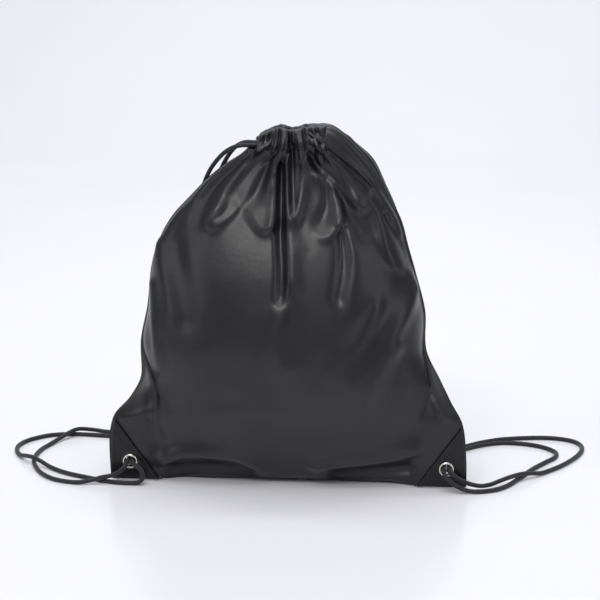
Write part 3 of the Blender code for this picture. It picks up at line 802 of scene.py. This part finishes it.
FRONT_FOLDS = smooth_folds(FRONT_FOLDS, 1.35, 0.3)
BACK_FOLDS = smooth_folds(BACK_FOLDS, 1.2, 1.0)
heights = NECK_HEIGHT * (np.arange(ROWS + 1) / ROWS)
start_rows = [
    (
        folded_row(height, -1, COLUMNS, FRONT_FOLDS, FRONT_PLEATS),
        folded_row(height, 1, COLUMNS, BACK_FOLDS, BACK_PLEATS),
    )
    for height in heights
]
print("the cloth starts on", len(start_rows), "rows of", 2 * COLUMNS, "points")


# %% [markdown]
# Front and back make one ring of cloth, shared at the side seams. The bottom edge is tucked
# a little under the bag, and the corners lie flat, where the patches hold them.

# %% Start shape of the cloth
FOOT_TUCK = 0.010
FOOT_RISE = 0.012
PLY_OFFSET = 0.0008
PATCH_INNER_X = 0.1215
PATCH_TOP = (0.1625, 0.0600)
RING = 2 * COLUMNS


def start_shape():
    points = np.zeros((ROWS + 1, RING, 3))
    for j, height in enumerate(heights):
        front, back = start_rows[j]
        row = np.concatenate([front, back[-2:0:-1]])
        offset = np.full(RING, PLY_OFFSET)
        offset[: COLUMNS + 1] = -PLY_OFFSET
        offset[[0, COLUMNS]] = 0
        near_foot = max(0.0, 1 - height / FOOT_RISE) ** 2
        body = np.clip((0.128 - np.abs(row[:, 0])) / 0.03, 0, 1)
        points[j, :, 0] = row[:, 0]
        points[j, :, 1] = row[:, 1] + offset - np.sign(offset) * FOOT_TUCK * near_foot * body
        points[j, :, 2] = height + 0.0012 * (1 - height / NECK_HEIGHT)
    return points


start = start_shape()
print("cloth ring", start.shape, start.min((0, 1)).round(3), start.max((0, 1)).round(3))

# %% Cloth simulation
CLOTH_FRAMES = 14
CLOTH_GRAVITY = 0.04
CLOTH_SETTINGS = {
    "quality": 6,
    "mass": 0.05,
    "air_damping": 2,
    "tension_stiffness": 40,
    "compression_stiffness": 40,
    "shear_stiffness": 20,
    "bending_stiffness": 2.0,
    "tension_damping": 10,
    "compression_damping": 10,
    "bending_damping": 1,
    "pin_stiffness": 1,
    "shrink_min": 0.0,
    "shrink_max": -0.012,
    "use_pressure": True,
    "uniform_pressure_force": 2.0,
}


def pin_weights(points):
    flat = points.reshape(-1, 3)
    weights = np.zeros(len(flat))
    weights[:RING] = 1
    weights[-2 * RING :] = 1
    slope = PATCH_TOP[1] / (PATCH_TOP[0] - PATCH_INNER_X)
    on_patch = flat[:, 2] < (np.abs(flat[:, 0]) - PATCH_INNER_X) * slope
    weights[on_patch & (flat[:, 2] < 0.062)] = 1
    return weights


def slack_weights(points):
    """How much each point's cloth may grow: most near the neck, none in the taut lower body."""
    height = points.reshape(-1, 3)[:, 2]
    levels, slack = (0.02, 0.10, 0.17, 0.24, 0.29, 0.306), (0.25, 0.12, 0.25, 0.9, 1.0, 0.5)
    return np.interp(height, levels, slack)


def add_weights(obj, name, weights):
    group = obj.vertex_groups.new(name=name)
    for index, weight in enumerate(weights):
        if weight > 0:
            group.add([index], float(weight), "REPLACE")
    return group.name


def settled_cloth(points):
    cloth = grid_mesh("bag_cloth", points, round_columns=True)
    pins = add_weights(cloth, "pinned", pin_weights(points))
    slack = add_weights(cloth, "slack", slack_weights(points))
    only(cloth)
    bpy.ops.object.modifier_add(type="CLOTH")
    modifier = cloth.modifiers[-1]
    settings = modifier.settings
    for name, value in CLOTH_SETTINGS.items():
        setattr(settings, name, value)
    settings.vertex_group_mass = pins
    settings.vertex_group_shrink = slack
    settings.effector_weights.gravity = CLOTH_GRAVITY
    modifier.collision_settings.use_collision = False
    scene = bpy.context.scene
    scene.frame_start, scene.frame_end = 1, CLOTH_FRAMES
    modifier.point_cache.frame_start, modifier.point_cache.frame_end = 1, CLOTH_FRAMES
    for frame_number in range(1, CLOTH_FRAMES + 1):
        scene.frame_set(frame_number)
    graph = bpy.context.evaluated_depsgraph_get()
    settled = cloth.evaluated_get(graph).to_mesh()
    flat = np.empty(len(settled.vertices) * 3, np.float32)
    settled.vertices.foreach_get("co", flat)
    scene.frame_set(1)
    bpy.data.objects.remove(cloth)
    return flat.reshape(points.shape).astype(float)


shape = settled_cloth(start)
moved = np.linalg.norm(shape - start, axis=2)
print("cloth moved up to", round(moved.max() * 1000, 1), "mm")
print("cloth now from", shape.min((0, 1)).round(3), "to", shape.max((0, 1)).round(3))

# %% [markdown]
# The settled ring is split into its two panels. Each gets one level of subdivision and a thin
# wall, and the back one closes the bottom.

# %% Front and back panels
FABRIC_WALL = 0.0006
PUNCH_RADIUS = 0.0058
PUNCH_LENGTH = 0.012
EYELET_X = 0.1490
EYELET_Z = 0.0190
EAR_DEPTH = -0.0480
CLOTH_WIDTH = 0.340
CLOTH_LENGTH = 0.395
BASE_ROWS = 8
BASE_HEIGHT = 0.0016


def cloth_grid(name, points):
    """A sheet over a grid of points, with a UV map in metres along the cut cloth."""
    rows, count = points.shape[:2]
    across, along = CLOTH_WIDTH / (count - 1), CLOTH_LENGTH / (rows - 1)
    return grid_mesh(name, points, lambda i, j: (i * across, j * along), outward=False)


def punch_eyelets(obj):
    """Cut the two corner holes."""
    for side_x in (-1, 1):
        place = (side_x * EYELET_X, EAR_DEPTH, EYELET_Z)
        bpy.ops.mesh.primitive_cylinder_add(
            vertices=32,
            radius=PUNCH_RADIUS,
            depth=PUNCH_LENGTH,
            location=place,
            rotation=(math.pi / 2, 0, 0),
        )
        tool = added("punch")
        only(obj)
        bpy.ops.object.modifier_add(type="BOOLEAN")
        cut = obj.modifiers[-1]
        cut.object = tool
        cut.operation = "DIFFERENCE"
        cut.solver = "EXACT"
        apply_modifiers(obj)
        bpy.data.objects.remove(tool)
    return obj


front_points = shape[:, : COLUMNS + 1]
back_points = np.concatenate([shape[:, :1], shape[:, : COLUMNS - 1 : -1]], axis=1)
base_rows = []
for part in np.arange(BASE_ROWS) / BASE_ROWS:
    row = front_points[0] * (1 - part) + back_points[0] * part
    row[:, 2] = BASE_HEIGHT
    base_rows.append(row)
panels = {}
for name, points in (
    ("front_panel_cloth", front_points),
    ("back_panel_cloth", np.concatenate([base_rows, back_points])),
):
    panel = thickened(subdivided(cloth_grid(name, points)), FABRIC_WALL, -1)
    punch_eyelets(faced_outward(panel))
    smooth(wear(panel, FABRIC), 70)
    panels[name] = panel
    print(name, len(panel.data.polygons), "faces")
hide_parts("front_panel")
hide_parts("back_panel")

# %% [markdown]
# The mouth's two hems are flat tunnels for the cords. Gathering crowds their cloth into
# pleats, which carry on from the folds below.

# %% Gathered hems
HEM_COLUMNS = 190
HEM_TOP = 0.3325
HEM_LOW = 0.3118
HEM_HALF = 0.0044
HEM_START = -0.0295
HEM_END = 0.0330
HEM_STEP = 0.0024
HEM_END_TURN = 0.0035


def hem_profile():
    """One loop of the tunnel: up the outside, over the top, down the inside and under."""
    high = HEM_TOP - HEM_HALF
    out = [(0.0, HEM_LOW + (high - HEM_LOW) * k / 8) for k in range(8)]
    out += [(1 - math.cos(a), high + HEM_HALF * math.sin(a)) for a in np.linspace(0, math.pi, 9)]
    out += [(2.0, high - (high - HEM_LOW) * k / 6) for k in range(1, 6)]
    out += [(1.7, HEM_LOW - 0.0012), (0.5, HEM_LOW - 0.0014)]
    return out


def mouth_top(x):
    """The mouth's upper edge: low at the left, a notch in the middle and high at the right."""
    places = (-0.030, -0.020, -0.011, -0.004, 0.000, 0.006, 0.013, 0.033)
    tops = (0.3240, 0.3290, 0.3325, 0.3312, 0.3295, 0.3308, 0.3330, 0.3338)
    return np.interp(x, places, tops)


def hem_face(x, height, side, folds, pleats):
    """How far out the mouth's cloth lies at this height, as a distance from the middle."""
    middle = abs(section(height)[3])
    ends = np.clip(np.minimum(x - HEM_START, HEM_END - x) / 0.005, 0, 1)
    rounded = np.sqrt(1 - (1 - ends) ** 2)
    relief = fabric_relief(x, height, folds, pleats) * (0.4 + 0.6 * rounded)
    return middle - HEM_END_TURN * (1 - rounded) + relief


def hem_cloth(side, folds, pleats):
    """The hem's rows. Its outside carries on from the panel below it."""
    x = np.linspace(HEM_START, HEM_END, HEM_COLUMNS + 1)
    tops = mouth_top(x)
    rows = []
    for inward, z in hem_profile():
        part = (z - HEM_LOW) / (HEM_TOP - HEM_LOW)
        lift = HEM_LOW + part * (tops - HEM_LOW)
        face = hem_face(x, max(HEM_LOW, min(z, 0.331)), side, folds, pleats)
        narrow = 1 + 0.05 * (1 - max(0.0, part))
        rows.append(np.stack([x * narrow, side * (face - inward * HEM_HALF), lift], axis=1))
    return np.array(rows)


def closed_tunnel(name, rings):
    """Join the profile's last row to its first, as a tunnel open at both ends."""
    across = CLOTH_WIDTH / (rings.shape[1] - 1)
    where = lambda i, j: (i * across, CLOTH_LENGTH + j * HEM_STEP)
    return grid_mesh(name, rings, where, round_rows=True)


hems = {}
for name, side, folds, pleats in (
    ("front_hem", -1, FRONT_FOLDS, FRONT_PLEATS),
    ("back_hem", 1, BACK_FOLDS, BACK_PLEATS),
):
    hem = closed_tunnel(name, hem_cloth(side, folds, pleats))
    subdivided(thickened(hem, FABRIC_WALL, -1))
    smooth(wear(hem, FABRIC), 80)
    hems[name] = hem
    print(name, len(hem.data.polygons), "faces")
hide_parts("front_channel")
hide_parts("back_channel")

# %% [markdown]
# At the right, the back panel's corner is pulled up over the cords as a flat flap. It runs
# from the side seam at its front edge to the bag's upper outline.

# %% Right shoulder flap
SHOULDER_SEAM = (
    (0.0150, -0.0165, 0.3290), (0.0240, -0.0172, 0.3225), (0.0335, -0.0170, 0.3155),
    (0.0450, -0.0168, 0.3070), (0.0570, -0.0165, 0.2975), (0.0735, -0.0150, 0.2815),
    (0.0865, -0.0115, 0.2625), (0.0965, -0.0070, 0.2420), (0.1020, -0.0010, 0.2280),
)
SHOULDER_EDGE = (
    (0.0170, 0.0020, 0.3335), (0.0270, 0.0030, 0.3343), (0.0375, 0.0040, 0.3330),
    (0.0470, 0.0050, 0.3262), (0.0590, 0.0060, 0.3170), (0.0760, 0.0070, 0.3015),
    (0.0885, 0.0080, 0.2760), (0.0985, 0.0060, 0.2530), (0.1035, 0.0020, 0.2310),
)
SHOULDER_ARCH = 0.0022
CORDS_ARCH = 0.0058
CORDS_AT = 0.22
CORDS_SPREAD = 0.18
SHOULDER_ROWS = 90
SHOULDER_COLUMNS = 22


def shoulder_flap():
    seam = resampled(SHOULDER_SEAM, SHOULDER_ROWS)
    edge = resampled(SHOULDER_EDGE, SHOULDER_ROWS)
    outward = np.array([0.55, -0.35, 0.75])
    rows = []
    for k in range(SHOULDER_COLUMNS + 1):
        part = k / SHOULDER_COLUMNS
        along = np.linspace(0, 1, SHOULDER_ROWS)
        over_cords = CORDS_ARCH * np.exp(-(((along - CORDS_AT) / CORDS_SPREAD) ** 2))
        arch = (SHOULDER_ARCH + over_cords) * math.sin(math.pi * part)
        crease = 0.0006 * np.sin(part * 26 + 2.0 * along) * np.sin(math.pi * part)
        tip = np.clip(np.minimum(along, 1 - along) / 0.12, 0, 1)
        rows.append(seam * (1 - part) + edge * part + outward * ((arch + crease) * tip)[:, None])
    inner = edge + np.array([-0.0012, 0.0016, -0.0030])
    rows.append(inner)
    return np.array(rows)


def resampled(points, count):
    line, _ = smooth_line(points, 0.001)
    along = lengths_along(line)
    even = np.linspace(0, along[-1], count)
    return np.stack([np.interp(even, along, line[:, k]) for k in range(3)], axis=1)


flap = cloth_grid("right_shoulder_cloth", shoulder_flap())
subdivided(thickened(flap, FABRIC_WALL, 0))
smooth(wear(flap, FABRIC), 70)
print("right shoulder flap", len(flap.data.polygons), "faces")

# %% [markdown]
# Inside the hems each drawcord runs once across the front, turns, and comes back. That loop
# is one stiff-looking run of cord that slides sideways as the cord is pulled.

# %% The cords' loops in the hems
LOOPS = {
    "left_drawcord": (
        (-35.3, -9, 315), (-20, -9, 315.2), (0, -9, 315.5), (20, -9, 316), (27, -8.5, 316),
        (31.8, -6, 316), (34, 0, 316), (31.8, 6, 316), (27, 8.5, 316), (20, 9, 316),
        (0, 9, 315.5), (-20, 9, 315.2), (-35.3, 9, 315),
    ),
    "right_drawcord": (
        (37.3, -9, 323.5), (20, -9, 323.5), (0, -9, 322.5), (-15, -9, 321), (-23, -8.5, 320.3),
        (-28.5, -6, 320.2), (-30.8, 0, 320.2), (-28.5, 6, 320.2), (-23, 8.5, 320.3),
        (-15, 9, 321), (0, 9, 322.5), (20, 9, 323.5), (37.3, 9, 323.5),
    ),
}
for name, route in LOOPS.items():
    line, length = smooth_line(metres(route), RING_SPACING)
    loop = wear(tube(name + "_loop", line, CORD_DIAMETER), CORD)
    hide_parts(name)
    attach(loop, name)
    print(name, "loop", round(length * 1000), "mm")

# %% Everything on the bag rides on it
for obj in (*panels.values(), *hems.values(), flap):
    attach(obj, "bag")
for name, others in (("front", (hems["front_hem"],)), ("back", (hems["back_hem"], flap))):
    panels[name + "_panel_cloth"]
    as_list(others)


# %% [markdown]
# Each bottom corner has a triangle of leatherette in front and behind. Its long edge is
# turned under and topstitched, so it stands up as a narrow band.

# %% Corner patches
PATCH_WALL = 0.0008
PATCH_FRONT_Y = -0.0505
PATCH_REAR_Y = -0.0455
PATCH_OUTLINE = (
    (0.1215, 0.0015), (0.1300, 0.0015), (0.1480, 0.0015), (0.1660, 0.0015),
    (0.1664, 0.0150), (0.1660, 0.0300), (0.1645, 0.0460), (0.1625, 0.0600),
)
BAND_WIDTH = 0.0055
BAND_RISE = 0.0011
BAND_EDGES = (((0.1217, 0.0017), (0.1624, 0.0597)), ((0.1282, 0.0017), (0.1634, 0.0520)))
STITCH_PITCH = 0.0034
STITCH_LENGTH = 0.0024
STITCH_THICKNESS = 0.00055


def stitch_row(name, points, normals):
    """A row of stitches along a line of points, each lying on the cloth and dipping at its ends."""
    points = np.asarray(points)
    along = lengths_along(points)
    count = int(along[-1] / STITCH_PITCH)

    def read(values, at):
        return np.array([np.interp(at, along, values[:, i]) for i in range(3)])

    bm = bmesh.new()
    for k in range(count):
        middle = (k + 0.5) * along[-1] / count
        ring_before = None
        for step in range(5):
            at = middle + (step / 4 - 0.5) * STITCH_LENGTH
            centre, out = read(points, at), read(normals, at)
            out /= np.linalg.norm(out)
            ahead = read(points, at + 1e-4) - read(points, at - 1e-4)
            side = np.cross(out, ahead / (np.linalg.norm(ahead) + 1e-12))
            thin = 0.55 if step in (0, 4) else 1.0
            lift = STITCH_THICKNESS * (0.10 if step in (0, 4) else 0.42)
            ring = []
            for turn in np.arange(6) / 6 * math.tau:
                offset = side * math.cos(turn) + out * math.sin(turn)
                rim = offset * thin * STITCH_THICKNESS / 2
                ring.append(bm.verts.new(centre + out * lift + rim))
            if ring_before:
                for i in range(6):
                    j = (i + 1) % 6
                    bm.faces.new((ring_before[i], ring_before[j], ring[j], ring[i]))
            else:
                bm.faces.new(list(reversed(ring)))
            ring_before = ring
        bm.faces.new(ring_before)
    bmesh.ops.recalc_face_normals(bm, faces=bm.faces)
    return smooth(wear(linked(name, bm), THREAD), 60)


def patch_cloth(name, side_x, face_y):
    """The triangle, from its outline: filled, extruded to its thickness and bevelled."""
    bm = bmesh.new()
    bm.faces.new([bm.verts.new((side_x * x, face_y, z)) for x, z in PATCH_OUTLINE])
    obj = only(linked(name, bm))
    bpy.ops.object.mode_set(mode="EDIT")
    bpy.ops.mesh.select_all(action="SELECT")
    bpy.ops.mesh.extrude_region_move(TRANSFORM_OT_translate={"value": (0, PATCH_WALL, 0)})
    bpy.ops.object.mode_set(mode="OBJECT")
    return faced_outward(obj, bevel=(0.00025, 2))


def folded_band(name, side_x, face_y, outward):
    """The turned edge: a narrow raised strip along the diagonal, inside the outline."""
    bpy.ops.mesh.primitive_cube_add(size=1)
    band = added(name)
    made = []
    for u, v, w in points_of(band) + 0.5:
        start, end = BAND_EDGES[round(v)]
        x, z = (1 - u) * np.array(start) + u * np.array(end)
        made.append((side_x * x, face_y + w * outward * BAND_RISE, z))
    set_points(band, made)
    return faced_outward(band, bevel=(0.00045, 3))


def diagonal_stitches(name, side_x, face_y, outward):
    start, end = np.array([0.1215, 0, 0.0015]), np.array([0.1625, 0, 0.0600])
    ahead = (end - start) / np.linalg.norm(end - start)
    across = np.array([ahead[2], 0, -ahead[0]])
    first = start + ahead * 0.006 + across * (BAND_WIDTH - 0.0016)
    last = end - ahead * 0.006 + across * (BAND_WIDTH - 0.0016)
    part = np.linspace(0, 1, 30)[:, None]
    line = first * (1 - part) + last * part
    line[:, 0] *= side_x
    line[:, 1] = face_y + outward * BAND_RISE
    return stitch_row(name, line, np.tile([0.0, outward, 0.0], (30, 1)))


def joined(name, objects):
    bpy.ops.object.select_all(action="DESELECT")
    for obj in objects:
        obj.select_set(True)
    bpy.context.view_layer.objects.active = objects[0]
    bpy.ops.object.join()
    return added(name)


patches = []
for side_x, word in ((-1, "left"), (1, "right")):
    for place, face_y, outward, node in (
        ("front", PATCH_FRONT_Y, -1, word + "_patch_front"),
        ("rear", PATCH_REAR_Y - PATCH_WALL, 1, word + "_patch_rear"),
    ):
        top_y = face_y if outward < 0 else face_y + PATCH_WALL
        body = patch_cloth(word + "_" + place + "_patch_body", side_x, face_y)
        punch_eyelets(body)
        band = folded_band(word + "_" + place + "_patch_band", side_x, top_y, outward)
        patch = joined(word + "_" + place + "_corner", [body, band])
        smooth(wear(patch, LEATHERETTE), 40)
        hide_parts(node)
        stitches = diagonal_stitches(word + "_" + place + "_stitches", side_x, top_y, outward)
        patches += [patch, stitches]
for obj in patches:
    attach(obj, "bag")
print(len(patches), "corner pieces")

# %% [markdown]
# The eyelets are turned from sheet brass and plated: a rolled flange in front, a barrel
# through the layers, and a washer behind.

# %% Eyelets and washers
EYELET_SECTION = (
    (0.00490, -0.0440), (0.00490, -0.0510), (0.00505, -0.0515), (0.00545, -0.0519),
    (0.00600, -0.0520), (0.00655, -0.0518), (0.00705, -0.0513), (0.00730, -0.0508),
    (0.00715, -0.0506), (0.00600, -0.0507), (0.00545, -0.0505), (0.00545, -0.0442),
    (0.00600, -0.0440), (0.00650, -0.0437), (0.00640, -0.0433), (0.00560, -0.0432),
    (0.00510, -0.0434),
)
WASHER_SECTION = (
    (0.00575, -0.0452), (0.00710, -0.0452), (0.00730, -0.0450), (0.00730, -0.0447),
    (0.00700, -0.0444), (0.00590, -0.0444), (0.00575, -0.0446),
)


def turned_ring(name, section_points, side_x):
    """Spin a section, radius and depth, once round the eyelet's own axis."""
    mesh = bpy.data.meshes.new(name)
    count = len(section_points)
    centre = (side_x * EYELET_X, 0, EYELET_Z)
    points = [(centre[0] + radius, depth, centre[2]) for radius, depth in section_points]
    mesh.from_pydata(points, [(i, (i + 1) % count) for i in range(count)], [])
    obj = bpy.data.objects.new(name, mesh)
    bpy.context.scene.collection.objects.link(obj)
    only(obj)
    bpy.ops.object.mode_set(mode="EDIT")
    bpy.ops.mesh.select_all(action="SELECT")
    bpy.ops.mesh.spin(steps=64, angle=math.tau, center=centre, axis=(0, 1, 0))
    bpy.ops.mesh.select_all(action="SELECT")
    bpy.ops.mesh.remove_doubles(threshold=0.00002)
    bpy.ops.mesh.normals_make_consistent(inside=False)
    bpy.ops.object.mode_set(mode="OBJECT")
    return smooth(wear(obj, NICKEL), 35)


for side_x, word in ((-1, "left"), (1, "right")):
    for part, points in (("eyelet", EYELET_SECTION), ("eyelet_washer", WASHER_SECTION)):
        turned_piece = turned_ring(word + "_" + part + "_turned", points, side_x)
        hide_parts(word + "_" + part)
        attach(turned_piece, "bag")
print("eyelets turned")

# %% [markdown]
# Behind each washer the cord's two ends meet in an overhand knot, too big to pull through.

# %% Knots
KNOT_CENTRE_Y = -0.0345
KNOT_SIZE = 0.00255


def knot_line(side_x):
    """Both strands run back through the eyelet into one overhand knot."""
    starts = metres(sorted(route[0] for route in ROUTES.values() if route[0][0] * side_x > 0))
    turns = np.linspace(0.62, math.tau - 0.62, 60)
    loops = np.stack(
        [
            np.sin(turns) + 2 * np.sin(2 * turns),
            1.15 * -np.sin(3 * turns),
            np.cos(turns) - 2 * np.cos(2 * turns),
        ],
        axis=1,
    )
    body = loops * KNOT_SIZE + np.array([side_x * EYELET_X, KNOT_CENTRE_Y, EYELET_Z])
    if body[0, 0] > body[-1, 0]:
        body = body[::-1]
    first, last = np.array(starts[0]), np.array(starts[-1])
    back = np.array([0, 0.0035, 0])
    return np.concatenate([[first, first + back], body[::4], [last + back, last]])


for side_x, word in ((-1, "left"), (1, "right")):
    line, length = smooth_line(knot_line(side_x), 0.0009)
    knot = wear(tube(word + "_tied_knot", line, CORD_DIAMETER), CORD)
    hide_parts(word + "_knot")
    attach(knot, "bag")
    print(word, "knot", round(length * 1000), "mm of cord")

# %% Stitches round the mouth
for name, side, folds, pleats in (
    ("front_hem_stitches", -1, FRONT_FOLDS, FRONT_PLEATS),
    ("back_hem_stitches", 1, BACK_FOLDS, BACK_PLEATS),
):
    x = np.linspace(HEM_START + 0.002, HEM_END - 0.002, 400)
    stitch_height = 0.3138 + 0.0005 * np.sin(x * 300)
    climb = (stitch_height - HEM_LOW) / (HEM_TOP - HEM_LOW)
    z = HEM_LOW + climb * (mouth_top(x) - HEM_LOW)
    faces = [hem_face(x, height, side, folds, pleats) for height in stitch_height]
    y = np.diagonal(faces)
    narrow = 1 + 0.05 * (1 - climb)
    line = np.stack([x * narrow, side * y, z], axis=1)
    slope = np.gradient(y, x * narrow)
    normals = np.stack([-slope, np.full_like(x, side), np.zeros_like(x)], axis=1)
    stitches = stitch_row(name, line, normals)
    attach(stitches, "bag")
print("hem stitches done")

for name, (strand, line, length, side) in strands.items():
    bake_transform(strand)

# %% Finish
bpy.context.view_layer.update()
